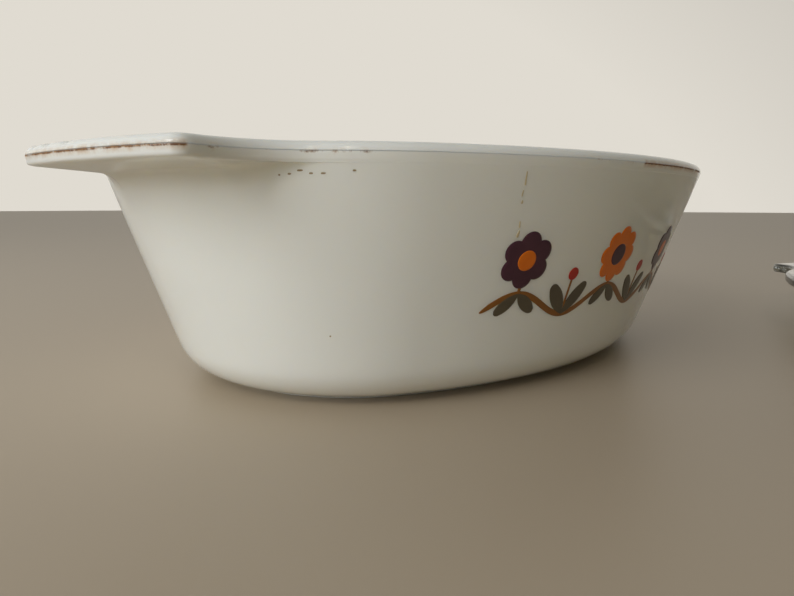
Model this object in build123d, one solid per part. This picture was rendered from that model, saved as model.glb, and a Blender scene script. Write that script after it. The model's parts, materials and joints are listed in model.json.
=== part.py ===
from build123d import *
from math import asin, atan2, cos, degrees, radians, sin, sqrt, tan
import os

# Oval covered casserole dish in pressed opal glass, with a clear pressed-glass cover.
# Millimetres. The origin is the middle of the foot, on the surface that the dish stands on;
# +X runs along the oval towards one tab handle, and +Z is up.

# ---- Dish plan, taken at the parting line, where the glass is widest -------------------------
HALF_LENGTH = 130.0        # middle to the end of the oval, without the tab handles
HALF_WIDTH = 96.0          # middle to the side of the oval
END_RADIUS = 77.0          # radius of the oval's two end arcs
TAB_REACH = 18.5           # how far the middle of a tab handle stands out beyond the oval's end
TAB_BOW = 3.0              # how far that middle stands out beyond the ends of the tab's edge
TAB_HALF_WIDTH = 29.0      # middle of a tab to its straight side
TAB_CORNER = 4.0           # rounding of a tab's two outer corners, in plan
TAB_FLARE = 25.0           # hollow sweep that leads a tab's side into the oval

# ---- Dish section ----------------------------------------------------------------------------
HEIGHT = 67.0              # table to the flat top of the rim
SEAM_DROP = 2.4            # top of the rim down to the parting line
EDGE_THICKNESS = 4.6       # thickness of the tabs at their outer edge
EDGE_ROUND = 2.3           # rounding of the rim's outer top edge
LIP_ROUND = 1.4            # rounding of the rim's inner top edge
DRAFT = 19.3               # slope of the wall away from upright, degrees
WALL = 5.0                 # wall thickness, square to the wall
BASE = 5.5                 # thickness of the bottom
OUTER_HEEL = 15.0          # rounding outside, between wall and bottom
INNER_HEEL = 12.0          # rounding inside, between wall and bottom
FOOT_HEIGHT = 1.3          # how far the foot lifts the heel off the table
FOOT_WIDTH = 6.0           # width of the foot's ring
FOOT_RECESS = 0.8          # depth of the hollow inside the ring
TAB_SLOPE = 4.0            # slope of a tab's underside down to the wall, degrees
TAB_ROUND = 5.0            # hollow between a tab's underside and the wall
TAB_DRAFT = 8.0            # draft of the edge below the parting line, degrees
WEB_START = 1.0            # tab's outer edge to where its underside starts to slope
WEB_INSET = 0.6            # how far the glass under a tab stands inside the tab's sides
WEB_SUNK = 0.2             # how far that glass reaches into the wall
RECESS_DRAFT = 45.0        # slope of the side of the hollow inside the ring, degrees

# ---- Cover -----------------------------------------------------------------------------------
SEAT_GAP = 0.3             # clearance between the cover's flange and the dish's rim
COVER_INSET = 1.0          # how far the cover's outline stands inside the dish's
FLANGE = 4.5               # thickness of the cover's flange and tabs
FLANGE_ROUND = 1.5         # rounding of the flange's outer edges
SKIRT_DEPTH = 4.0          # how far the locating skirt reaches into the dish
SKIRT_CLEARANCE = 1.2      # gap between the skirt and the dish's wall, at the rim
SKIRT_LAND = 1.8           # width of the skirt's lower edge
SKIRT_DRAFT = 30.0         # slope of the skirt, so that the cover can be tipped off, degrees
DOME_DRAFT = 50.0          # slope of the dome away from upright, degrees
DOME_GLASS = 4.5           # thickness of the dome, square to its slope
COVER_RISE = 22.0          # underside of the flange to the top of the crown
CROWN_ROUND = 14.0         # rounding between the dome and the flat crown
DOME_FOOT_ROUND = 3.0      # hollow between the flange and the dome
RIB_COUNT = 3              # raised finger ribs on each of the cover's tabs
RIB_PITCH = 4.0            # spacing of the ribs
RIB_RADIUS = 1.0           # half the width of a rib
RIB_PROUD = 0.6            # how far a rib stands above the tab
RIB_MARGIN = 3.5           # outermost rib to the tab's outer edge

# ---- Where the cover lies when it is off: upside down beside the dish --------------------------
COVER_AWAY = 251.0         # middle of the dish to the middle of the cover
COVER_BEARING = 68.0       # direction from the dish to the cover, degrees from +X towards -Y

# ---- Derived ---------------------------------------------------------------------------------
NEAR = 0.01                # two heights closer than this are the same
END_CENTRE = HALF_LENGTH - END_RADIUS
SIDE_RADIUS = (END_CENTRE**2 + HALF_WIDTH**2 - END_RADIUS**2) / (2 * (HALF_WIDTH - END_RADIUS))
SIDE_CENTRE = SIDE_RADIUS - HALF_WIDTH
JOINT_ANGLE = degrees(atan2(SIDE_CENTRE, END_CENTRE))   # where an end arc meets a side arc

SEAM = HEIGHT - SEAM_DROP
EDGE_BOTTOM = HEIGHT - EDGE_THICKNESS
SLOPE = tan(radians(DRAFT))
WALL_ACROSS = WALL / cos(radians(DRAFT))                # wall thickness measured level
FLOOR = FOOT_HEIGHT + BASE
HEEL_RUN = OUTER_HEEL * tan(radians(90 - DRAFT) / 2)    # level reach of the outer heel rounding
FOOT_INSET = (SEAM - FOOT_HEIGHT) * SLOPE + HEEL_RUN    # the foot starts where the heel ends
RIM_INNER_INSET = WALL_ACROSS - SEAM_DROP * SLOPE       # inner wall line, at the top of the rim
TAB_X = HALF_LENGTH + TAB_REACH
BOW_RADIUS = (TAB_HALF_WIDTH**2 + TAB_BOW**2) / (2 * TAB_BOW)
BOW_CENTRE = TAB_X - BOW_RADIUS
CORNER_Y = TAB_HALF_WIDTH - TAB_CORNER
CORNER_X = BOW_CENTRE + sqrt((BOW_RADIUS - TAB_CORNER) ** 2 - CORNER_Y**2)
CORNER_LEAN = degrees(asin(CORNER_Y / (BOW_RADIUS - TAB_CORNER)))   # where bow and corner meet

SEAT = HEIGHT + SEAT_GAP
FLANGE_TOP = SEAT + FLANGE
CROWN_TOP = SEAT + COVER_RISE
CROWN_UNDER = CROWN_TOP - DOME_GLASS
SKIRT_BOTTOM = SEAT - SKIRT_DEPTH
SKIRT_INSET = RIM_INNER_INSET + SKIRT_CLEARANCE
SKIRT_FOOT_INSET = SKIRT_INSET + SKIRT_DEPTH * tan(radians(SKIRT_DRAFT))
DOME_SLOPE = tan(radians(DOME_DRAFT))
HOLLOW_INSET = SKIRT_FOOT_INSET + SKIRT_LAND            # the cover's hollow, at the skirt's edge
DOME_INSET = (HOLLOW_INSET + (FLANGE_TOP - SKIRT_BOTTOM) * DOME_SLOPE
              - DOME_GLASS / cos(radians(DOME_DRAFT)))  # outside of the dome, on the flange


def arc(centre, radius, start, end):
    """The arc about centre from angle start to angle end, in degrees."""
    return CenterArc((centre[0], centre[1], 0), radius, start, end - start)


def oval(inset, z):
    """The four-arc oval that stands inset inside the parting line, as a face at height z."""
    end = END_RADIUS - inset
    side = SIDE_RADIUS - inset
    turn = JOINT_ANGLE
    edges = [
        arc((END_CENTRE, 0), end, -turn, turn),
        arc((0, -SIDE_CENTRE), side, turn, 180 - turn),
        arc((-END_CENTRE, 0), end, 180 - turn, 180 + turn),
        arc((0, SIDE_CENTRE), side, 180 + turn, 360 - turn),
    ]
    return Pos(0, 0, z) * make_face(Wire(edges))


def tab_quarter(inset, tab_inset):
    """A quarter of the outline with tabs, from the middle of a tab's outer edge round to the
    middle of the oval's side, with the oval and the tab each standing in by their own inset.
    The flare touches the end arc, or the side arc where the end arc is too short to reach it."""
    width = TAB_HALF_WIDTH - tab_inset
    flare = TAB_FLARE + tab_inset
    end = END_RADIUS - inset
    side = SIDE_RADIUS - inset
    flare_y = width + flare
    flare_x = END_CENTRE + sqrt((end + flare) ** 2 - flare_y**2)
    meet = degrees(atan2(flare_y, flare_x - END_CENTRE))
    on_end = meet < JOINT_ANGLE
    if not on_end:
        flare_x = sqrt((side + flare) ** 2 - (flare_y + SIDE_CENTRE) ** 2)
        meet = degrees(atan2(flare_y + SIDE_CENTRE, flare_x))
    edges = [
        arc((BOW_CENTRE, 0), BOW_RADIUS - tab_inset, 0, CORNER_LEAN),
        arc((CORNER_X, CORNER_Y), TAB_CORNER - tab_inset, CORNER_LEAN, 90),
        Line((CORNER_X, width), (flare_x, width)),
        arc((flare_x, flare_y), flare, 270, 180 + meet),
    ]
    if on_end:
        edges.append(arc((END_CENTRE, 0), end, meet, JOINT_ANGLE))
        meet = JOINT_ANGLE
    edges.append(arc((0, -SIDE_CENTRE), side, meet, 90))
    return edges


def tabbed(inset, z, tab_inset=None):
    """The oval with a tab handle at each end, as a face at height z."""
    quarter = tab_quarter(inset, inset if tab_inset is None else tab_inset)
    half = quarter + [edge.mirror(Plane.YZ) for edge in quarter]
    whole = half + [edge.mirror(Plane.XZ) for edge in half]
    return Pos(0, 0, z) * make_face(Wire(whole))


def level_edges(shape, z):
    """The edges of a shape that lie level at height z."""
    return shape.edges().filter_by_position(Axis.Z, z - NEAR, z + NEAR)


def opening_edges(shape, z):
    """The edges round the opening in a shape's level face at height z."""
    level = shape.faces().filter_by(GeomType.PLANE).filter_by_position(Axis.Z, z - NEAR, z + NEAR)
    return level.sort_by(SortBy.AREA)[-1].inner_wires().edges()


def make_tab_web():
    """The glass that thickens a tab's underside towards the wall: a section turned about the
    oval's end centre, so that it follows the wall, and trimmed to the tab's own outline."""
    tip = TAB_X - END_CENTRE - WEB_START
    fall = tan(radians(TAB_SLOPE))
    wall_radius = END_RADIUS - WEB_SUNK
    corner = (wall_radius - (SEAM - EDGE_BOTTOM + fall * tip) * SLOPE) / (1 - fall * SLOPE)
    corner_z = EDGE_BOTTOM - fall * (tip - corner)
    low_z = corner_z - TAB_ROUND
    low = wall_radius - (SEAM - low_z) * SLOPE
    inner = low - WALL / 2
    section = Polygon((inner, EDGE_BOTTOM + 1), (tip, EDGE_BOTTOM + 1), (tip, EDGE_BOTTOM),
                      (corner, corner_z), (low, low_z), (inner, low_z), align=None)
    bend = section.vertices().sort_by_distance((corner, corner_z, 0))[0]
    section = fillet(bend, TAB_ROUND)
    ring = revolve(Plane.XZ * section, Axis.Z, 180)
    ring = Pos(END_CENTRE, 0, 0) * Rot(0, 0, -90) * ring
    trim = tabbed((SEAM - low_z) * SLOPE + WEB_SUNK, low_z - 1, WEB_INSET)
    return ring & extrude(trim, SEAM - low_z)


def make_dish():
    """Drafted oval bowl with a round-edged rim, two tab handles and a ring foot."""
    bowl = extrude(oval(0, SEAM), SEAM - FOOT_HEIGHT, dir=(0, 0, -1), taper=DRAFT)
    bowl = fillet(level_edges(bowl, FOOT_HEIGHT), OUTER_HEEL)

    rim = extrude(tabbed(0, SEAM), SEAM_DROP)
    rim = fillet(level_edges(rim, HEIGHT), EDGE_ROUND)
    edge = extrude(tabbed(0, SEAM), SEAM - EDGE_BOTTOM, dir=(0, 0, -1), taper=TAB_DRAFT)
    web = make_tab_web()

    foot = extrude(oval(FOOT_INSET, 0), FOOT_HEIGHT + BASE / 2)
    hollow = extrude(oval(FOOT_INSET + FOOT_WIDTH, 0), FOOT_RECESS, taper=RECESS_DRAFT)

    cavity = extrude(oval(RIM_INNER_INSET, HEIGHT), HEIGHT - FLOOR, dir=(0, 0, -1), taper=DRAFT)
    cavity = fillet(level_edges(cavity, FLOOR), INNER_HEEL)

    dish = bowl + rim + edge + web + web.mirror(Plane.YZ) + foot - cavity - hollow
    return fillet(opening_edges(dish, HEIGHT), LIP_ROUND)


def make_rib(radius):
    """One raised finger rib: a round bar turned about the oval's end centre."""
    half_turn = degrees(asin((TAB_HALF_WIDTH - COVER_INSET - TAB_CORNER) / radius))
    bar = Plane.XZ * (Pos(radius, FLANGE_TOP + RIB_PROUD - RIB_RADIUS) * Circle(RIB_RADIUS))
    rib = revolve(bar, Axis.Z, 2 * half_turn)
    return Pos(END_CENTRE, 0, 0) * Rot(0, 0, -half_turn) * rib


def make_cover():
    """Low domed cover with a flat crown, a flange with two ribbed tabs and a locating skirt,
    where it sits on the dish."""
    flange = extrude(tabbed(COVER_INSET, SEAT), FLANGE)
    flange = fillet(level_edges(flange, SEAT) + level_edges(flange, FLANGE_TOP), FLANGE_ROUND)

    dome = extrude(oval(DOME_INSET, FLANGE_TOP), CROWN_TOP - FLANGE_TOP, taper=DOME_DRAFT)
    dome = fillet(level_edges(dome, CROWN_TOP), CROWN_ROUND)
    skirt = extrude(oval(SKIRT_INSET, SEAT), SKIRT_DEPTH, dir=(0, 0, -1), taper=SKIRT_DRAFT)
    hollow = extrude(oval(HOLLOW_INSET, SKIRT_BOTTOM), CROWN_UNDER - SKIRT_BOTTOM, taper=DOME_DRAFT)
    hollow = fillet(level_edges(hollow, CROWN_UNDER), CROWN_ROUND - DOME_GLASS)

    cover = flange + dome
    cover = fillet(opening_edges(cover, FLANGE_TOP), DOME_FOOT_ROUND)
    cover = cover + skirt - hollow
    outermost = TAB_X - COVER_INSET - END_CENTRE - RIB_MARGIN
    for number in range(RIB_COUNT):
        rib = make_rib(outermost - number * RIB_PITCH)
        cover = cover + rib + rib.mirror(Plane.YZ)
    return cover


def lay_beside(cover):
    """Lift the cover off, turn it over and lay it on its crown beside the dish: half a turn
    about a level line midway between the two places."""
    bearing = radians(COVER_BEARING)
    middle = (COVER_AWAY / 2 * cos(bearing), -COVER_AWAY / 2 * sin(bearing), CROWN_TOP / 2)
    line = Axis(middle, (-sin(bearing), -cos(bearing), 0))
    print("cover turns about", [round(v, 4) for v in middle], "along",
          [round(v, 6) for v in (-sin(bearing), -cos(bearing), 0)])
    return cover.rotate(line, 180)


def main():
    os.makedirs("parts", exist_ok=True)
    export_step(make_dish(), "parts/dish.step")
    export_step(lay_beside(make_cover()), "parts/cover.step")


main()
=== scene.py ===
import json
import math
import bpy
import numpy as np
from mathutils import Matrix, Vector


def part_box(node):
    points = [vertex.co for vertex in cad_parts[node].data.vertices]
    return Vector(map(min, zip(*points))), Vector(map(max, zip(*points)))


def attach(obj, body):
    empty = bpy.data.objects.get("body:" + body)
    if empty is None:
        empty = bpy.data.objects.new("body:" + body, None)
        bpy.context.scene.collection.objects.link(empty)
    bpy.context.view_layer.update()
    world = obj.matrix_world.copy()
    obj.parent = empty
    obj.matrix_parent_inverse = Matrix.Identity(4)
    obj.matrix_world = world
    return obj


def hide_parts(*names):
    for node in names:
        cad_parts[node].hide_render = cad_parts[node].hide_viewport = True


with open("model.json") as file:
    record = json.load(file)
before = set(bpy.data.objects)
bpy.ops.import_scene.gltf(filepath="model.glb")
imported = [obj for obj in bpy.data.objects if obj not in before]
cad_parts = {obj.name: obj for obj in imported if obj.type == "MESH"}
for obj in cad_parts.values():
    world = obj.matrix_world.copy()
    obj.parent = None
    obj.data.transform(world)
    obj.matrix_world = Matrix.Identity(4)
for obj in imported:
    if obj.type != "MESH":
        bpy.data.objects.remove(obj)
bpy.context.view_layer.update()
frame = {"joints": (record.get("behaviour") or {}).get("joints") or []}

# ==== Dish ====================================================================================
# One pressing of white opal glass, fire-polished: an oval bowl whose wall leans out to a round
# rim, two tab handles with the mould's parting line along their edge, and a low ring foot.

MM = 0.001
dish_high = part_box("dish")[1]

# Plan, at the parting line, where the glass is widest: an oval of four arcs, and a tab at each
# end with a bowed outer edge, round corners, and hollow flares that run into the oval.
HALF_LENGTH = 130.0
HALF_WIDTH = dish_high.y / MM
END_RADIUS = 77.0
TAB_X = dish_high.x / MM
TAB_HALF_WIDTH = 29.0
TAB_CORNER = 4.0
TAB_FLARE = 25.0
TAB_BOW = 3.0

# Section. The wall leans out by DRAFT and stands on a round heel and a low ring foot.
HEIGHT = dish_high.z / MM
DRAFT = math.radians(19.3)
SLOPE = math.tan(DRAFT)
WALL_ACROSS = 5.0 / math.cos(DRAFT)
LIP_ROUND = 1.4
OUTER_HEEL = 15.0
INNER_HEEL = 12.0
FOOT_HEIGHT = 1.3
FOOT_WIDTH = 6.0
FOOT_RECESS = 0.8
FOOT_ROUND = 0.5
FLOOR = FOOT_HEIGHT + 5.5

# Rim and tab edges: round above the parting line, a fine ridge in it, and a drafted face below
# it that ends in a small bevel. Off the tabs, which blend out from TAB_START + TAB_BLEND to
# TAB_START along X, the rim turns into the leaning wall over SEAM_EASE each way.
SEAM = HEIGHT - 2.4
EDGE_BOTTOM = HEIGHT - 4.6
EDGE_ROUND = 2.3
EDGE_SLOPE = math.tan(math.radians(8.0))
BEVEL_WIDTH = 0.25
BEVEL_HEIGHT = 0.15
SEAM_PROUD = 0.03
SEAM_EASE = 0.8
TAB_START = 104.0
TAB_BLEND = 22.0

# Under a tab the glass falls towards the wall, then turns down into it through a hollow.
UNDER_SLOPE = math.tan(math.radians(4.0))
HOLLOW_LONGEST = 4.0
HOLLOW_SHARE = 0.7
HOLLOW_LEAST = 0.8

END_CENTRE = HALF_LENGTH - END_RADIUS
SIDE_RADIUS = (END_CENTRE**2 + HALF_WIDTH**2 - END_RADIUS**2) / (2 * (HALF_WIDTH - END_RADIUS))
SIDE_CENTRE = SIDE_RADIUS - HALF_WIDTH
JOINT = math.atan2(SIDE_CENTRE, END_CENTRE)


def oval_centre(turn):
    """Centre and radius of the arc of the four-arc oval whose outward direction is turn: the two
    end arcs where turn is within JOINT of the X axis, the two side arcs elsewhere."""
    c, s = np.cos(turn), np.sin(turn)
    on_end = np.abs(np.arctan2(np.abs(s), np.abs(c))) <= JOINT
    x = np.where(on_end, np.sign(c) * END_CENTRE, 0.0)
    y = np.where(on_end, 0.0, -np.sign(s) * SIDE_CENTRE)
    return x, y, np.where(on_end, END_RADIUS, SIDE_RADIUS), on_end


def tab_reach(turn, inset):
    """Distance from the oval's end centre to the outline with tabs, along direction turn, for
    an outline that stands inset inside the parting line. Going round from the middle of a tab:
    its slightly bowed outer edge, its corner arc, its straight side, the hollow flare, the oval."""
    a = np.arctan2(np.abs(np.sin(turn)), np.abs(np.cos(turn)))
    c, s = np.cos(a), np.maximum(np.sin(a), 1e-9)
    bow = (TAB_HALF_WIDTH**2 + TAB_BOW**2) / (2 * TAB_BOW)
    bow_x = TAB_X - END_CENTRE - bow
    corner_y = TAB_HALF_WIDTH - TAB_CORNER
    corner_x = bow_x + math.sqrt((bow - TAB_CORNER) ** 2 - corner_y**2)
    lean = math.asin(corner_y / (bow - TAB_CORNER))
    width = TAB_HALF_WIDTH - inset
    corner = np.maximum(TAB_CORNER - inset, 0.05)
    flare = TAB_FLARE + inset
    flare_y = TAB_HALF_WIDTH + TAB_FLARE
    flare_x = math.sqrt((END_RADIUS + TAB_FLARE) ** 2 - flare_y**2)

    def ray_to_circle(x, y, radius, far):
        """Distance to where the ray meets the circle about (x, y): far is 1, or -1 for nearer."""
        along = x * c + y * s
        across = x * s - y * c
        return along + far * np.sqrt(np.maximum(radius**2 - across**2, 0.0))

    bow_end = np.arctan2((bow - inset) * math.sin(lean), bow_x + (bow - inset) * math.cos(lean))
    tests = [a < bow_end, a < np.arctan2(width, corner_x), a < np.arctan2(width, flare_x),
             a < math.atan2(flare_y, flare_x)]
    values = [ray_to_circle(bow_x, 0.0, bow - inset, 1), ray_to_circle(corner_x, corner_y, corner, 1),
              width / s, ray_to_circle(flare_x, flare_y, flare, -1)]
    return np.select(tests, values, END_RADIUS - inset)


def ring(turn, inset, tabs):
    """Plan points of an outline that stands inset inside the parting line, with or without the
    tabs. Both start from the same arc centres, so the two can be blended station by station."""
    x, y, radius, on_end = oval_centre(turn)
    out = radius - inset
    if tabs:
        out = np.where(on_end, tab_reach(turn, inset), out)
    return np.stack([x + out * np.cos(turn), y + out * np.sin(turn)], axis=-1)


def stations(step, fine_step):
    """Directions round the outline, evenly spaced along it, and closer at the -X tab."""
    turn = np.linspace(0.0, 2 * math.pi, 40001)
    edge = ring(turn, 0.0, True)
    gap = np.hypot(*np.diff(edge, axis=0).T)
    chipped = edge[1:, 0] < -HALF_LENGTH - 6.0
    count = np.concatenate([[0.0], np.cumsum(gap / np.where(chipped, fine_step, step))])
    return np.interp(np.arange(int(count[-1])) * count[-1] / int(count[-1]), count, turn)


def make_mesh(name, sheets, material, points=None):
    """Builds one object from sheets of points, each (rows, columns, 3) in millimetres with its
    flags: closed joins the last column to the first, and a pole makes the first or last row a
    single vertex. points holds float attributes, one array of (rows, columns) for each sheet."""
    places, corners, sizes, extra = [], [], [], {key: [] for key in points or {}}
    start = 0
    for number, (grid, closed, first_pole, last_pole) in enumerate(sheets):
        rows, columns = grid.shape[:2]
        index = start + np.arange(rows * columns).reshape(rows, columns)
        if first_pole:
            index[0] = index[0, 0]
        if last_pole:
            index[-1] = index[-1, 0]
        start += rows * columns
        places.append(grid.reshape(-1, 3))
        for key in extra:
            extra[key].append(np.broadcast_to(points[key][number], (rows, columns)).ravel())
        left = index if closed else index[:, :-1]
        right = np.roll(index, -1, axis=1) if closed else index[:, 1:]
        quads = np.stack([left[:-1], left[1:], right[1:], right[:-1]], axis=-1)
        if first_pole:
            corners.append(quads[0][:, [0, 1, 2]].ravel())
            sizes.append(np.full(quads.shape[1], 3))
        middle = quads[int(first_pole):len(quads) - int(last_pole)].reshape(-1, 4)
        corners.append(middle.ravel())
        sizes.append(np.full(len(middle), 4))
        if last_pole:
            corners.append(quads[-1][:, [0, 1, 3]].ravel())
            sizes.append(np.full(quads.shape[1], 3))
    place = np.concatenate(places)
    corner = np.concatenate(corners)
    size = np.concatenate(sizes)
    used, corner = np.unique(corner, return_inverse=True)
    mesh = bpy.data.meshes.new(name)
    mesh.vertices.add(len(used))
    mesh.vertices.foreach_set("co", (place[used] * MM).astype(np.float32).ravel())
    mesh.loops.add(len(corner))
    mesh.loops.foreach_set("vertex_index", corner.astype(np.int32).ravel())
    mesh.polygons.add(len(size))
    mesh.polygons.foreach_set("loop_start", np.concatenate([[0], np.cumsum(size)[:-1]]).astype(np.int32))
    mesh.polygons.foreach_set("loop_total", size.astype(np.int32))
    mesh.polygons.foreach_set("use_smooth", np.ones(len(size), dtype=bool))
    mesh.update(calc_edges=True)
    mesh.validate()
    for key, values in extra.items():
        layer = mesh.attributes.new(key, "FLOAT", "POINT")
        layer.data.foreach_set("value", np.concatenate(values)[used].astype(np.float32))
    mesh.materials.append(material)
    thing = bpy.data.objects.new(name, mesh)
    bpy.context.scene.collection.objects.link(thing)
    return thing


def colour(code):
    """An sRGB hex colour as linear RGBA: below 0.04045 divided by 12.92, above it the 2.4 power."""
    value = np.array([int(code[i:i + 2], 16) / 255 for i in (1, 3, 5)])
    linear = np.where(value <= 0.04045, value / 12.92, ((value + 0.055) / 1.055) ** 2.4)
    return (*linear.tolist(), 1.0)


def new_material(name):
    """An empty node material and its Principled shader, wired to the output."""
    material = bpy.data.materials.new(name)
    material.use_nodes = True
    return material, material.node_tree, material.node_tree.nodes["Principled BSDF"]


def add(tree, kind, inputs=None, **settings):
    """Adds one node with its settings. An input is a value, or another node's output to link."""
    node = tree.nodes.new(kind)
    for key, value in settings.items():
        setattr(node, key, value)
    for key, value in (inputs or {}).items():
        if isinstance(value, bpy.types.NodeSocket):
            tree.links.new(value, node.inputs[key])
        else:
            node.inputs[key].default_value = value
    return node


def noise(tree, size, detail, roughness=0.5):
    """Smooth noise through the object, with features about size millimetres across."""
    where = add(tree, "ShaderNodeTexCoord").outputs["Object"]
    return add(tree, "ShaderNodeTexNoise", {"Vector": where, "Scale": 1 / (size * MM),
                                            "Detail": detail, "Roughness": roughness}).outputs["Fac"]


def ramp(tree, value, start, end, first=0.0, last=1.0):
    """A value carried in a straight line from start...end to first...last, and held beyond."""
    return add(tree, "ShaderNodeMapRange", {"Value": value, "From Min": start, "From Max": end,
                                            "To Min": first, "To Max": last}).outputs[0]


def arithmetic(tree, operation, *values):
    """One arithmetic step on values or other nodes' outputs."""
    return add(tree, "ShaderNodeMath", dict(enumerate(values)), operation=operation).outputs[0]


def blend(tree, share, first, second):
    """A mix of two colours, from first where share is 0 to second where it is 1."""
    return add(tree, "ShaderNodeMix", {0: share, 6: first, 7: second}, data_type="RGBA").outputs[2]


def relief(tree, shader, height, strength, depth):
    """Gives a shader a fine relief: height from 0 to 1 stands for depth millimetres."""
    bump = add(tree, "ShaderNodeBump", {"Height": height, "Strength": strength,
                                        "Distance": depth * MM})
    tree.links.new(bump.outputs[0], shader.inputs["Normal"])


def opal_glass():
    """White opal glass, pressed and fire-polished: milky, so light spreads a few millimetres in
    it and edges look soft; a hard gloss with the slow waves of a pressed surface; old baked-on
    fat in the parting line, brown to orange, that a scourer never reaches."""
    material, tree, shader = new_material("pressed_opal_glass")
    body = blend(tree, noise(tree, 60, 2.0), colour("#F1F2EC"), colour("#E8E9E2"))

    # Distance from the parting line, made ragged, and where along it there is any fat.
    grime = add(tree, "ShaderNodeAttribute", attribute_name="grime").outputs["Fac"]
    above = add(tree, "ShaderNodeAttribute", attribute_name="above_seam").outputs["Fac"]
    fleck = noise(tree, 1.2, 4.0, 0.6)
    ragged = arithmetic(tree, "ADD", above, arithmetic(tree, "MULTIPLY_ADD", fleck, 0.5, -0.25))
    distance = arithmetic(tree, "ABSOLUTE", ragged)
    patch = arithmetic(tree, "ADD", noise(tree, 5, 6.0, 0.7), grime)

    # A dark line in the parting line itself, and a thin orange haze round it.
    stain = arithmetic(tree, "MULTIPLY", ramp(tree, distance, 0.1, 0.34, 1.0, 0.0),
                       ramp(tree, patch, 0.95, 1.1))
    haze = arithmetic(tree, "MULTIPLY", ramp(tree, distance, 0.3, 1.3, 0.5, 0.0),
                      ramp(tree, patch, 0.98, 1.2))
    hazy = blend(tree, haze, body, colour("#B98642"))
    fat = blend(tree, ramp(tree, fleck, 0.42, 0.62), colour("#A47A48"), colour("#6A4222"))
    tree.links.new(blend(tree, stain, hazy, fat), shader.inputs["Base Color"])
    tree.links.new(ramp(tree, stain, 0.0, 1.0, 0.12, 0.6), shader.inputs["Roughness"])

    relief(tree, shader, noise(tree, 22, 1.0), 0.12, 0.4)
    shader.inputs["IOR"].default_value = 1.5
    shader.inputs["Subsurface Weight"].default_value = 0.6
    shader.inputs["Subsurface Radius"].default_value = (1.0, 0.92, 0.8)
    shader.inputs["Subsurface Scale"].default_value = 5 * MM
    return material


def arc_rows(count, start, end):
    """Angles from start to end in degrees, as radians."""
    return np.radians(np.linspace(start, end, count))


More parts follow.
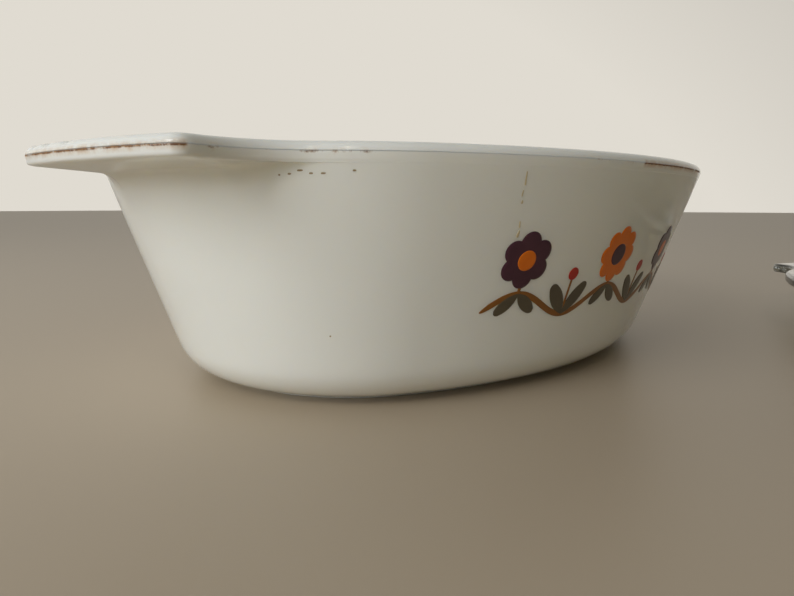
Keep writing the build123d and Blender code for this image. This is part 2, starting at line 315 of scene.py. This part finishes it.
def dish_rows(turn):
    """The dish as rows of points round the stations, from the middle of the inside, up the inner
    wall, over the rim and tabs, down the outer wall and under the foot to the middle below."""
    rows = []

    def put(plan, z):
        """Adds a row: plan points at height z, which is one number or one for each station."""
        rows.append(np.column_stack([plan, np.broadcast_to(z, turn.shape)]))

    # Inside: flat bottom, heel rounding, leaning wall, rounded lip.
    lean = (math.pi / 2 - DRAFT) / 2
    rim_inset = WALL_ACROSS - (HEIGHT - SEAM) * SLOPE
    floor_inset = rim_inset + (HEIGHT - FLOOR) * SLOPE + INNER_HEEL * math.tan(lean)
    for share in (0.0, 0.12, 0.3, 0.5, 0.7, 0.85, 0.95):
        put(ring(turn, floor_inset, False) * share, FLOOR)
    for angle in arc_rows(12, -90, -math.degrees(DRAFT)):
        put(ring(turn, floor_inset - INNER_HEEL * math.cos(angle), False),
            FLOOR + INNER_HEEL * (1 + math.sin(angle)))
    lip_lean = math.pi / 2 + DRAFT
    lip_run = LIP_ROUND / math.tan(lip_lean / 2)
    wall_top = HEIGHT - lip_run * math.cos(DRAFT)
    wall_low = FLOOR + INNER_HEEL * (1 - math.sin(DRAFT))
    for share in np.linspace(0.06, 1.0, 14):
        z = wall_low + (wall_top - wall_low) * share
        put(ring(turn, rim_inset + (HEIGHT - z) * SLOPE, False), z)
    lip_inset = rim_inset - lip_run
    for angle in arc_rows(7, 180 - math.degrees(DRAFT), 90)[1:]:
        put(ring(turn, lip_inset - LIP_ROUND * math.cos(angle), False),
            HEIGHT - LIP_ROUND * (1 - math.sin(angle)))

    # How much of a tab a station is on, from the plain sides (0) to the tabs (1).
    tab = np.clip((np.abs(ring(turn, 0.0, False)[:, 0]) - TAB_START) / TAB_BLEND, 0.0, 1.0)
    tab = tab * tab * (3 - 2 * tab)

    def ease(z):
        """Inset that eases the turn from the upright rim to the leaning wall, off the tabs."""
        return (1 - tab) * SLOPE * max(SEAM + SEAM_EASE - z, 0.0) ** 2 / (4 * SEAM_EASE)

    # Top of the rim and tabs, to the start of the outer rounding.
    inner = ring(turn, lip_inset, False)
    outer = ring(turn, EDGE_ROUND + SEAM_PROUD, True)
    for share in (0.12, 0.3, 0.5, 0.7, 0.88):
        put(inner + (outer - inner) * share, HEIGHT)
    for angle in arc_rows(9, 90, 0):
        z = HEIGHT - EDGE_ROUND * (1 - math.sin(angle))
        put(ring(turn, SEAM_PROUD + EDGE_ROUND * (1 - math.cos(angle)) + ease(z), True), z)

    # Parting line: a fine ridge where the mould's two halves met.
    for rise, ridge in ((0.32, 0.0), (0.16, 0.7), (0.0, 1.0), (-0.16, 0.7), (-0.32, 0.0)):
        put(ring(turn, SEAM_PROUD * (1 - ridge) + ease(SEAM + rise), True), SEAM + rise)

    # Edge below the parting line: nearly upright at the tabs, running out along the sides.
    def edge_inset(drop, bevel=0.0):
        """Inset of the drafted face, drop below the parting line; off the tabs, of the wall."""
        wall = drop * SLOPE
        return wall + (SEAM_PROUD + drop * EDGE_SLOPE + bevel - wall) * tab

    for drop in (0.8, 1.3, 1.8):
        put(ring(turn, edge_inset(drop), True), SEAM - drop)
    bevel_top = EDGE_BOTTOM + BEVEL_HEIGHT
    start = ring(turn, edge_inset(SEAM - bevel_top, BEVEL_WIDTH), True)
    put(start, bevel_top)

    # Underside: falls towards the wall, then turns down into it through a hollow, drawn as a curve
    # that leaves along the first line and arrives along the second. Off the tabs it all but ends.
    x0, y0, radius, _ = oval_centre(turn)
    out0 = np.hypot(start[:, 0] - x0, start[:, 1] - y0)
    z0 = EDGE_BOTTOM + (BEVEL_HEIGHT - 0.02) * (1 - tab)
    out1 = (radius - (SEAM - z0 + UNDER_SLOPE * out0) * SLOPE) / (1 - UNDER_SLOPE * SLOPE)
    z1 = z0 - UNDER_SLOPE * (out0 - out1)
    length = np.hypot(out0 - out1, z0 - z1)
    bend = np.minimum(HOLLOW_SHARE * length, HOLLOW_LONGEST) + HOLLOW_LEAST
    share = np.clip(1 - bend / np.maximum(length, 1e-6), 0.0, 1.0)
    first_out, first_z = out0 + (out1 - out0) * share, z0 + (z1 - z0) * share
    last_z = z1 - bend * math.cos(DRAFT)
    last_out = radius - (SEAM - last_z) * SLOPE

    def put_out(out, z):
        """Adds a row whose points stand out from the centres of the oval's arcs."""
        put(np.stack([x0 + out * np.cos(turn), y0 + out * np.sin(turn)], axis=-1), z)

    for part in (0.08, 0.4, 0.75):
        put_out(out0 + (first_out - out0) * part, z0 + (first_z - z0) * part)
    for t in np.linspace(0.0, 1.0, 10):
        weights = ((1 - t) ** 2, 2 * t * (1 - t), t * t)
        put_out(weights[0] * first_out + weights[1] * out1 + weights[2] * last_out,
                weights[0] * first_z + weights[1] * z1 + weights[2] * last_z)

    # Outer wall, heel, foot ring and hollow underneath.
    heel_run = OUTER_HEEL * math.tan(lean)
    heel_top = FOOT_HEIGHT + OUTER_HEEL * (1 - math.sin(DRAFT))
    for share in np.linspace(0.0, 1.0, 20)[1:-1]:
        z = last_z + (heel_top - last_z) * share
        put_out(radius - (SEAM - z) * SLOPE, z)
    foot_inset = (SEAM - FOOT_HEIGHT) * SLOPE + heel_run
    for angle in arc_rows(14, -math.degrees(DRAFT), -84):
        put(ring(turn, foot_inset - OUTER_HEEL * math.cos(angle), False),
            FOOT_HEIGHT + OUTER_HEEL * (1 + math.sin(angle)))
    for angle in arc_rows(5, 0, -90):
        put(ring(turn, foot_inset + FOOT_ROUND * (1 - math.cos(angle)), False),
            FOOT_ROUND * (1 + math.sin(angle)))
    hollow_inset = foot_inset + FOOT_WIDTH
    for inset, z in ((foot_inset + 1.5, 0.0), (hollow_inset - 1.5, 0.0), (hollow_inset - 0.5, 0.0),
                     (hollow_inset, 0.2), (hollow_inset + 0.5, FOOT_RECESS - 0.1),
                     (hollow_inset + 1.0, FOOT_RECESS)):
        put(ring(turn, inset, False), z)
    for share in (0.9, 0.7, 0.5, 0.3, 0.12, 0.0):
        put(ring(turn, hollow_inset + 1.0, False) * share, FOOT_RECESS)
    return np.stack(rows)


turn = stations(1.6, 0.5)
dish_points = dish_rows(turn)
above_seam = dish_points[..., 2] - SEAM


def along_outline(turn):
    """Length along the outline with tabs from the middle of the -X tab, positive towards -Y."""
    edge = ring(np.linspace(math.pi, 3 * math.pi, 20001), 0.0, True)
    travel = np.concatenate([[0.0], np.cumsum(np.hypot(*np.diff(edge, axis=0).T))])
    spot = np.interp(np.mod(turn - math.pi, 2 * math.pi), np.linspace(0, 2 * math.pi, 20001), travel)
    return np.where(spot > travel[-1] / 2, spot - travel[-1], spot)


def window(value, low, high, fade):
    """1 between low and high, falling to 0 over fade outside them."""
    return np.clip(np.minimum(value - low, high - value) / fade + 1.0, 0.0, 1.0)


# Where fat has caked into the parting line: how much, where it starts and ends along the outline,
# and over what length it fades.
BAKED_ON = [(0.62, -30.0, 29.5, 2.0), (0.4, 33.0, 50.0, 4.0), (0.5, 55.0, 70.0, 4.0),
            (0.42, 130.0, 145.0, 6.0), (0.7, 151.0, 205.0, 4.0), (0.5, 330.0, 420.0, 20.0),
            (0.5, -420.0, -330.0, 20.0), (0.3, -320.0, -60.0, 20.0)]
outline_at = along_outline(turn)
grime = np.max([amount * window(outline_at, *span) for amount, *span in BAKED_ON], axis=0)

# Small chips along the far half of the -X tab's top edge: deepest at the edge itself, where a sum
# of waves of four lengths rises above zero, gone 0.6 mm above the parting line or 4.4 mm inwards.
CHIP_DEPTH = 0.32
CHIP_WAVES = (9.0, 5.2, 3.1, 1.9)
CHIP_FADE = 2.0
chip = np.zeros_like(outline_at)
random = np.random.default_rng(4)
for wave in CHIP_WAVES:
    chip += np.sin(2 * math.pi * (outline_at / wave + random.random())) * wave / CHIP_WAVES[0]
chip = CHIP_DEPTH * np.clip(chip, 0.0, 1.6) * window(outline_at, -30.0, -7.0, 4.0)
inward = np.hypot(*np.moveaxis(dish_points[..., :2] - ring(turn, 0.0, True), -1, 0))
high = np.clip((above_seam - 0.6) / 1.6, 0.0, 1.0)
dish_points[..., 2] -= chip * high * np.clip(2.2 - inward / CHIP_FADE, 0.0, 1.0)

dish = make_mesh("opal_dish", [(dish_points, True, True, True)], opal_glass(), {
    "above_seam": [above_seam],
    "grime": [np.broadcast_to(grime, above_seam.shape)],
})
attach(dish, "dish")
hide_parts("dish")

# ==== Printed frieze ============================================================================
# A plain border of flowers on a waving stem, evenly repeated, on both long sides: ceramic enamel
# colours screened flat, transferred to the wall and fired in, each a thin film with a soft gloss.

# The film's thickness, how much higher each later colour lies where colours overlap, and how
# deep an outline dips into the glass. Places are lengths along the parting line from the middle
# of the long side, and heights.
FILM = 0.09
LAYER = 0.03
SUNK = 0.05
SIDE_LENGTH = SIDE_RADIUS * (math.pi / 2 - JOINT)
PITCH = 40.0
VINE_HEIGHT = 27.0
VINE_SWING = 3.5
VINE_REACH = 92.0
VINE_HALF_WIDTH = 0.9
FLOWER_HEIGHT = 39.5


def on_wall(along, height, proud, side):
    """Points on the dish's outer wall. along runs round the parting line from the middle of a
    long side, height is above the table, proud is square to the wall; side 1 is the back."""
    beyond = np.abs(along) - SIDE_LENGTH
    swing = np.where(beyond < 0, np.abs(along) / SIDE_RADIUS,
                     math.pi / 2 - JOINT + np.maximum(beyond, 0) / END_RADIUS)
    turn = -math.pi / 2 + np.sign(along) * swing
    x, y, radius, _ = oval_centre(turn)
    out = radius - (SEAM - height) * SLOPE + proud * math.cos(DRAFT)
    flip = 1 - 2 * side
    return np.stack([flip * (x + out * np.cos(turn)), flip * (y + out * np.sin(turn)),
                     height - proud * math.sin(DRAFT)], axis=-1)


def stretch(height):
    """Length along the parting line for one millimetre along the wall at this height."""
    return SIDE_RADIUS / (SIDE_RADIUS - (SEAM - height) * SLOPE)


def stamp(x, y, at, layer, edge, side):
    """A motif's own flat shape (x along, y up, true millimetres) laid on a long side at at =
    (along, height). edge is true on the film's outline, where it dips into the glass."""
    along = at[0] + x * stretch(at[1])
    height = at[1] + y * math.cos(DRAFT)
    proud = np.where(edge, -SUNK, FILM + LAYER * layer)
    return on_wall(along, height, proud, side)


def petals(count, distance, radius, tilt=0.0):
    """Outline radius of a flower: from its middle, along each direction, the far side of the
    nearest petal's circle, whose centre stands distance out."""
    def outline(angle):
        part = 2 * math.pi / count
        off = np.mod(angle - tilt + part / 2, part) - part / 2
        return distance * np.cos(off) + np.sqrt(
            np.maximum(radius**2 - (distance * np.sin(off)) ** 2, 0.0))
    return outline


def bloom(outline, columns=240):
    """A disc-like shape: columns of directions, rows from the middle out to outline(angle)."""
    angle = np.linspace(0, 2 * math.pi, columns, endpoint=False)
    share = np.array([0.0, 0.3, 0.6, 0.85, 0.97, 1.0])[:, None]
    reach = outline(angle)[None, :] * share
    edge = np.broadcast_to(share > 0.99, reach.shape)
    return reach * np.cos(angle), reach * np.sin(angle), edge, True


def band(x, y, way, width):
    """An open shape: a line of points with its direction and half width, nine points across."""
    across = np.sin(np.linspace(-math.pi / 2, math.pi / 2, 9))
    x = x[:, None] - np.sin(way)[:, None] * width[:, None] * across
    y = y[:, None] + np.cos(way)[:, None] * width[:, None] * across
    edge = np.broadcast_to(np.abs(across) > 0.999, x.shape).copy()
    edge[[0, -1]] = True
    return x, y, edge, False


def brush(heading, length, bend, half_width, rows=56):
    """A brush stroke from (0, 0): a line whose bend (1/mm) runs evenly from bend[0] to bend[1],
    with a half width that passes through three values at its start, middle and end, and round
    or, where the width runs out, pointed ends."""
    share = (1 - np.cos(np.linspace(0, math.pi, rows))) / 2
    fine = np.linspace(0, 1, 2001)
    direction = math.radians(heading) + length * (bend[0] * fine + (bend[1] - bend[0]) * fine**2 / 2)
    step = length / 2000
    line_x = np.concatenate([[0], np.cumsum(np.cos(direction[:-1]) * step)])
    line_y = np.concatenate([[0], np.cumsum(np.sin(direction[:-1]) * step)])
    x, y, way = (np.interp(share, fine, v) for v in (line_x, line_y, direction))
    first, middle, last = half_width
    width = (first * (1 - share) * (1 - 2 * share) + 4 * middle * share * (1 - share)
             + last * share * (2 * share - 1))
    for end, value in ((share, first), (1 - share, last)):
        cap = max(value, 0.05) / length
        width = width * np.sqrt(np.clip(1 - (1 - np.clip(end / cap, 0, 1)) ** 2, 0, 1))
    return band(x, y, way, width)


def leaf(heading, length, width):
    """A leaf from its joint: a thin stalk, widest in the middle, and a narrow round tip."""
    return brush(heading, length, (0, 0), (0.25, 0.5 * width, 0.2 * width), rows=40)


def vine():
    """The waving stem from end to end: a cosine wave about VINE_HEIGHT with crests PITCH apart,
    of one width, and tapered ends."""
    along = np.linspace(-VINE_REACH, VINE_REACH, 420)
    phase = 2 * math.pi * along / PITCH
    x = along / stretch(VINE_HEIGHT)
    y = VINE_SWING * np.cos(phase) / math.cos(DRAFT)
    width = VINE_HALF_WIDTH * np.sqrt(np.clip((x[-1] - np.abs(x)) / 3.0, 0, 1))
    return band(x, y, np.arctan2(np.gradient(y), np.gradient(x)), width)


def film(name, shapes, material, sides=(0, 1)):
    """One printed colour: every shape in it, on the given sides, as one object. A shape is (points
    x, points y, edge, whether its columns close), its place, its layer, and whether it has a twin,
    mirrored about the side's middle. A twin's columns are turned round, to face outwards."""
    sheets = []
    for (x, y, edge, closed), at, layer, twin in shapes:
        for mirror in ((1, -1) if twin else (1,)):
            place = (mirror * at[0], at[1])
            for side in sides:
                grid = stamp(mirror * x, y, place, layer, edge, side)
                sheets.append((grid[:, ::mirror], closed, True, not closed))
    thing = make_mesh(name, sheets, material)
    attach(thing, "dish")


def enamel(name, code, deep):
    """Fired ceramic enamel, or a mark of use as thin as it: a flat colour, a little uneven in
    thickness, with a softer gloss than the glass under it and pinholes too fine to see."""
    material, tree, shader = new_material(name)
    level = ramp(tree, noise(tree, 6, 4.0, 0.65), 0.3, 0.7)
    tree.links.new(blend(tree, level, colour(code), colour(deep)), shader.inputs["Base Color"])
    relief(tree, shader, noise(tree, 0.5, 2.0), 0.15, 0.02)
    shader.inputs["Roughness"].default_value = 0.28
    shader.inputs["IOR"].default_value = 1.5
    return material


def disc(radius):
    """Outline radius of a circle."""
    return lambda angle: np.full_like(angle, radius)


# The waving stem, and a short stem up to each flower. Crests stand at the middle and at one and
# two pitches from it, hollows half way between them.
crest, hollow = VINE_HEIGHT + VINE_SWING, VINE_HEIGHT - VINE_SWING
stem = brush(90, 6.0, (0, 0), (0.5, 0.5, 0.5))
stalk = brush(90, 11.0, (0, 0), (0.45, 0.4, 0.4))
film("enamel_brown_vine",
     [(vine(), (0.0, VINE_HEIGHT), 0, False), (stem, (0.0, crest), 0.4, False)]
     + [(stem, (number * PITCH, crest), 0.4, True) for number in (1, 2)]
     + [(stalk, ((number - 0.5) * PITCH, hollow), 0.4, True) for number in (1, 2)],
     enamel("fired_enamel_brown", "#96601E", "#855216"))

# Leaves in pairs: a pair up from each hollow, and a smaller pair down from each crest.
greens = [(leaf(90 + side * 36, 11.5, 4.6), ((number - 0.5) * PITCH, hollow), 0.6, True)
          for number in (1, 2) for side in (1, -1)]
greens += [(leaf(270 + side * 48, 8.5, 3.8), (number * PITCH, crest), 0.6, number > 0)
           for number in (0, 1, 2) for side in (1, -1)]
film("enamel_green_leaves", greens, enamel("fired_enamel_leaf_green", "#5D5440", "#524A39"))

# Eight-petalled daisies one pitch from the middle, six-petalled flowers at the middle and two
# pitches from it, each with a heart in the other's colour, and a berry over each hollow.
daisy = bloom(petals(8, 6.0, 2.7), columns=320)
flower = bloom(petals(6, 4.8, 3.2, math.pi / 2), columns=300)
film("enamel_orange_daisies",
     [(daisy, (PITCH, FLOWER_HEIGHT), 1, True), (bloom(disc(2.9)), (0.0, FLOWER_HEIGHT), 2, False),
      (bloom(disc(2.9)), (2 * PITCH, FLOWER_HEIGHT), 2, True)],
     enamel("fired_enamel_orange", "#EF7C04", "#E47002"))
film("enamel_aubergine_flowers",
     [(flower, (0.0, FLOWER_HEIGHT), 1, False), (flower, (2 * PITCH, FLOWER_HEIGHT), 1, True),
      (bloom(disc(3.4)), (PITCH, FLOWER_HEIGHT), 2, True)],
     enamel("fired_enamel_aubergine", "#4E2638", "#432030"))
berry = bloom(disc(1.9), columns=120)
film("enamel_red_berries",
     [(berry, ((number - 0.5) * PITCH, hollow + 11.5), 1, True) for number in (1, 2)],
     enamel("fired_enamel_red", "#C32A1C", "#B32216"))

# Marks of use on the front: baked-on specks under the rim and a pale dried drip.
specks = [(-145.8, 59.8, 0.5), (-143.6, 60.0, 0.8), (-141.4, 60.7, 1.3), (-138.8, 60.1, 0.9),
          (-136.2, 60.1, 1.1), (-129.2, 60.7, 0.8), (-137.0, 21.5, 0.5)]
film("baked_on_specks", [(brush(2, length, (0, 0), (0.14, 0.22, 0.1), 12),
                          (along, height), 0, False) for along, height, length in specks],
     enamel("baked_on_fat", "#A39274", "#8F7A58"), sides=(0,))
drips = [((-87.0, 61.2), -86, 3.4, 0.2), ((-86.8, 57.0), -92, 1.6, 0.16),
         ((-86.4, 54.6), -84, 0.9, 0.26), ((-85.6, 49.6), -80, 1.8, 0.18),
         ((-85.0, 47.4), -100, 2.0, 0.36)]
film("dried_drip", [(brush(heading, length, (0.0, 0.1), (0.1, wide, wide), 16), at, 0, False)
                    for at, heading, length, wide in drips],
     enamel("dried_food_film", "#D6C8A4", "#C9B68A"), sides=(0,))

# ==== Cover =====================================================================================
# One pressing of clear glass: a flange with two tabs that matches the dish's rim, a shallow dome
# with a flat crown, a short locating skirt, and raised finger ribs on the tabs. It lies upside
# down beside the dish, half a turn of the joint away from its seat on the rim.

# Heights are those of the seated cover; its flange hangs 0.3 mm clear of the rim.
SEAT = HEIGHT + 0.3
FLANGE_INSET = 1.0
FLANGE_TOP = SEAT + 4.5
FLANGE_ROUND = 1.5
DOME_GLASS = 4.5
DOME_DRAFT = math.radians(50.0)
DOME_SLOPE = math.tan(DOME_DRAFT)
DOME_FOOT_ROUND = 3.0
CROWN_TOP = SEAT + 22.0
CROWN_ROUND = 14.0
SKIRT_DEPTH = 4.0
SKIRT_BOTTOM = SEAT - SKIRT_DEPTH
SKIRT_INSET = WALL_ACROSS - (HEIGHT - SEAM) * SLOPE + 1.2
SKIRT_FOOT_INSET = SKIRT_INSET + SKIRT_DEPTH * math.tan(math.radians(30.0))
HOLLOW_INSET = SKIRT_FOOT_INSET + 1.8
DOME_INSET = (HOLLOW_INSET + (FLANGE_TOP - SKIRT_BOTTOM) * DOME_SLOPE
              - DOME_GLASS / math.cos(DOME_DRAFT))

# Finger ribs across each tab, from the outermost one inwards.
RIB_COUNT = 3
RIB_PITCH = 4.0
RIB_HEIGHT = 0.6
RIB_HALF_WIDTH = 1.05
RIB_HALF_LENGTH = 24.5
RIB_EDGE = 3.5


def cover_rows(turn):
    """The seated cover as rows of points: from the middle of its crown, down the dome, out over
    the ribbed flange, round its edge, in along its underside, down the skirt, up the hollow."""
    rows = []

    def put(plan, z):
        """Adds a row: plan points at height z, which is one number or one for each station."""
        rows.append(np.column_stack([plan, np.broadcast_to(z, turn.shape)]))

    # Crown, its rounding, dome, and the hollow at the dome's foot.
    tilt = math.pi / 2 - DOME_DRAFT
    crown_inset = (DOME_INSET + (CROWN_TOP - FLANGE_TOP) * DOME_SLOPE
                   + CROWN_ROUND * math.tan(tilt / 2))
    for share in (0.0, 0.12, 0.3, 0.5, 0.7, 0.9):
        put(ring(turn, crown_inset, False) * share, CROWN_TOP)
    for angle in arc_rows(9, 90, 90 - math.degrees(tilt)):
        put(ring(turn, crown_inset - CROWN_ROUND * math.cos(angle), False),
            CROWN_TOP - CROWN_ROUND * (1 - math.sin(angle)))
    shoulder_z = CROWN_TOP - CROWN_ROUND * (1 - math.cos(tilt))
    foot_inset = DOME_INSET - DOME_FOOT_ROUND * math.tan(tilt / 2)
    foot_z = FLANGE_TOP + DOME_FOOT_ROUND * (1 - math.cos(tilt))
    for share in np.linspace(0.0, 1.0, 9)[1:]:
        z = shoulder_z + (foot_z - shoulder_z) * share
        put(ring(turn, DOME_INSET + (z - FLANGE_TOP) * DOME_SLOPE, False), z)
    for angle in arc_rows(6, 270 - math.degrees(tilt), 270)[1:]:
        put(ring(turn, foot_inset - DOME_FOOT_ROUND * math.cos(angle), False),
            FLANGE_TOP + DOME_FOOT_ROUND * (1 + math.sin(angle)))

    # Top of the flange, with the half-round ribs on its tabs.
    start = ring(turn, foot_inset, False)
    edge = ring(turn, FLANGE_INSET + FLANGE_ROUND, True)
    x0, y0, _, _ = oval_centre(turn)
    outermost = TAB_X - FLANGE_INSET - END_CENTRE - RIB_EDGE
    for share in np.linspace(0.0, 1.0, 60)[1:]:
        plan = start + (edge - start) * share
        x, y = np.abs(plan).T
        out = np.hypot(plan[:, 0] - x0, plan[:, 1] - y0)
        rib = np.zeros_like(out)
        for number in range(RIB_COUNT):
            off = (out - outermost + RIB_PITCH * number) / RIB_HALF_WIDTH
            rib = np.maximum(rib, RIB_HEIGHT * np.sqrt(np.clip(1 - off**2, 0, 1)))
        rib = rib * np.clip((RIB_HALF_LENGTH - y) / 1.5, 0, 1) * (x > HALF_LENGTH - 6)
        put(plan, FLANGE_TOP + rib)

    # Round the flange's edge, in along its underside, and down the skirt.
    for angle in arc_rows(7, 90, 0)[1:]:
        put(ring(turn, FLANGE_INSET + FLANGE_ROUND * (1 - math.cos(angle)), True),
            FLANGE_TOP - FLANGE_ROUND * (1 - math.sin(angle)))
    for angle in arc_rows(7, 0, -90):
        put(ring(turn, FLANGE_INSET + FLANGE_ROUND * (1 - math.cos(angle)), True),
            SEAT + FLANGE_ROUND * (1 + math.sin(angle)))
    skirt = ring(turn, SKIRT_INSET - 0.6, False)
    for share in (0.2, 0.4, 0.6, 0.8, 1.0):
        put(edge + (skirt - edge) * share, SEAT)
    for share in (0.08, 0.3, 0.6, 0.92):
        put(ring(turn, SKIRT_INSET + (SKIRT_FOOT_INSET - SKIRT_INSET) * share, False),
            SEAT - SKIRT_DEPTH * share)
    land = HOLLOW_INSET - SKIRT_FOOT_INSET
    for share, lift in ((0.12, 0.1), (0.35, 0.0), (0.65, 0.0), (0.88, 0.1)):
        put(ring(turn, SKIRT_FOOT_INSET + land * share, False), SKIRT_BOTTOM + lift)

    # Up inside the dome, to the middle under the crown.
    under = CROWN_TOP - DOME_GLASS
    inner_round = CROWN_ROUND - DOME_GLASS
    inner_run = inner_round * math.tan(tilt / 2)
    inner_z = under - inner_round * (1 - math.cos(tilt))
    for share in np.linspace(0.0, 1.0, 16)[1:]:
        z = SKIRT_BOTTOM + (inner_z - SKIRT_BOTTOM) * share
        put(ring(turn, HOLLOW_INSET + (z - SKIRT_BOTTOM) * DOME_SLOPE, False), z)
    inner_inset = HOLLOW_INSET + (under - SKIRT_BOTTOM) * DOME_SLOPE + inner_run
    for angle in arc_rows(8, 90 - math.degrees(tilt), 90)[1:]:
        put(ring(turn, inner_inset - inner_round * math.cos(angle), False),
            under - inner_round * (1 - math.sin(angle)))
    for share in (0.9, 0.7, 0.5, 0.3, 0.12, 0.0):
        put(ring(turn, inner_inset, False) * share, under)
    return np.stack(rows)


def half_turn(points, joint):
    """Points turned half a turn about the joint's line: each goes to its mirror image through
    the nearest point of the line."""
    axis = np.array(joint["axis"]) / np.linalg.norm(joint["axis"])
    line = np.array(joint["pos_m"]) / MM
    along = ((points - line) @ axis)[..., None] * axis
    return 2 * (line + along) - points


def clear_glass():
    """Clear pressed glass: colourless, faintly grey-green where it is thick, with the slow waves
    that a mould leaves under the fire polish, and a thin smear that dulls it in places."""
    material, tree, shader = new_material("pressed_clear_glass")
    relief(tree, shader, noise(tree, 14, 3.0), 0.25, 0.5)
    smear = ramp(tree, noise(tree, 30, 4.0), 0.45, 0.75, 0.02, 0.09)
    tree.links.new(smear, shader.inputs["Roughness"])
    shader.inputs["Base Color"].default_value = colour("#EDF2EE")
    shader.inputs["Transmission Weight"].default_value = 1.0
    shader.inputs["IOR"].default_value = 1.47
    return material


cover_turn = frame["joints"][0]
cover_points = half_turn(cover_rows(stations(1.6, 1.6)), cover_turn)
cover = make_mesh("clear_cover", [(cover_points, True, True, True)], clear_glass())
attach(cover, "cover")
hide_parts("cover")

# ==== Floor, light and camera ===================================================================
# A plain pale floor with a satin finish, and a room all round: a pale wall beyond the dish, darker
# behind the camera. A window lights it from the left, and a small lamp gives the glass its spark.

FLOOR_REACH = 6.0
floor_mesh = bpy.data.meshes.new("floor")
floor_corners = [(x * FLOOR_REACH, y * FLOOR_REACH, 0) for x, y in ((-1, -1), (1, -1), (1, 1), (-1, 1))]
floor_mesh.from_pydata(floor_corners, [], [(0, 1, 2, 3)])
floor = bpy.data.objects.new("floor", floor_mesh)
bpy.context.scene.collection.objects.link(floor)
floor_material, _, floor_shader = new_material("pale_satin_floor")
floor_shader.inputs["Base Color"].default_value = colour("#B4A58F")
floor_shader.inputs["Roughness"].default_value = 0.42
floor_mesh.materials.append(floor_material)

WALL_HEADING = math.radians(50)
world = bpy.data.worlds.new("studio")
bpy.context.scene.world = world
world.use_nodes = True
room = world.node_tree
wall_way = (0.87 * math.cos(WALL_HEADING), 0.87 * math.sin(WALL_HEADING), -0.5)
towards_wall = add(room, "ShaderNodeVectorMath",
                   {0: add(room, "ShaderNodeTexCoord").outputs["Generated"], 1: wall_way},
                   operation="DOT_PRODUCT").outputs["Value"]
wall_light = blend(room, ramp(room, towards_wall, -0.3, 0.62), colour("#6B6964"), colour("#E0DBD1"))
room.links.new(wall_light, room.nodes["Background"].inputs["Color"])
bpy.context.scene.view_settings.view_transform = "Standard"


def area_light(name, place, size, power, tint):
    """A soft square lamp at place, in metres, that faces the middle of the dish."""
    data = bpy.data.lights.new(name, "AREA")
    data.size = size
    data.energy = power
    data.color = colour(tint)[:3]
    lamp = bpy.data.objects.new(name, data)
    bpy.context.scene.collection.objects.link(lamp)
    x, y, z = np.array([0.0, 0.0, 0.03]) - np.array(place)
    lamp.location = place
    lamp.rotation_euler = (math.pi / 2 + math.atan2(z, math.hypot(x, y)), 0.0,
                           math.atan2(y, x) - math.pi / 2)


area_light("window", (-1.05, 0.2, 0.45), 0.7, 8.5, "#F8FBFF")
area_light("ceiling_lamp", (-0.9, -0.55, 0.95), 0.06, 0.8, "#FFF6E8")

# The camera stands low and close at the dish's near left, just under the height of its rim.
CAMERA_HEADING = math.radians(33.48)
CAMERA_PITCH = math.radians(-8.46)
CAMERA_ROLL = math.radians(-0.09)
camera_data = bpy.data.cameras.new("camera")
camera_data.sensor_width = 36.0
camera_data.lens = 28.088
camera_data.clip_start = 0.01
camera = bpy.data.objects.new("camera", camera_data)
bpy.context.scene.collection.objects.link(camera)
camera.location = (-221.4 * MM, -127.7 * MM, 53.2 * MM)
camera.rotation_euler = (math.pi / 2 + CAMERA_PITCH, CAMERA_ROLL, CAMERA_HEADING - math.pi / 2)
bpy.context.scene.camera = camera
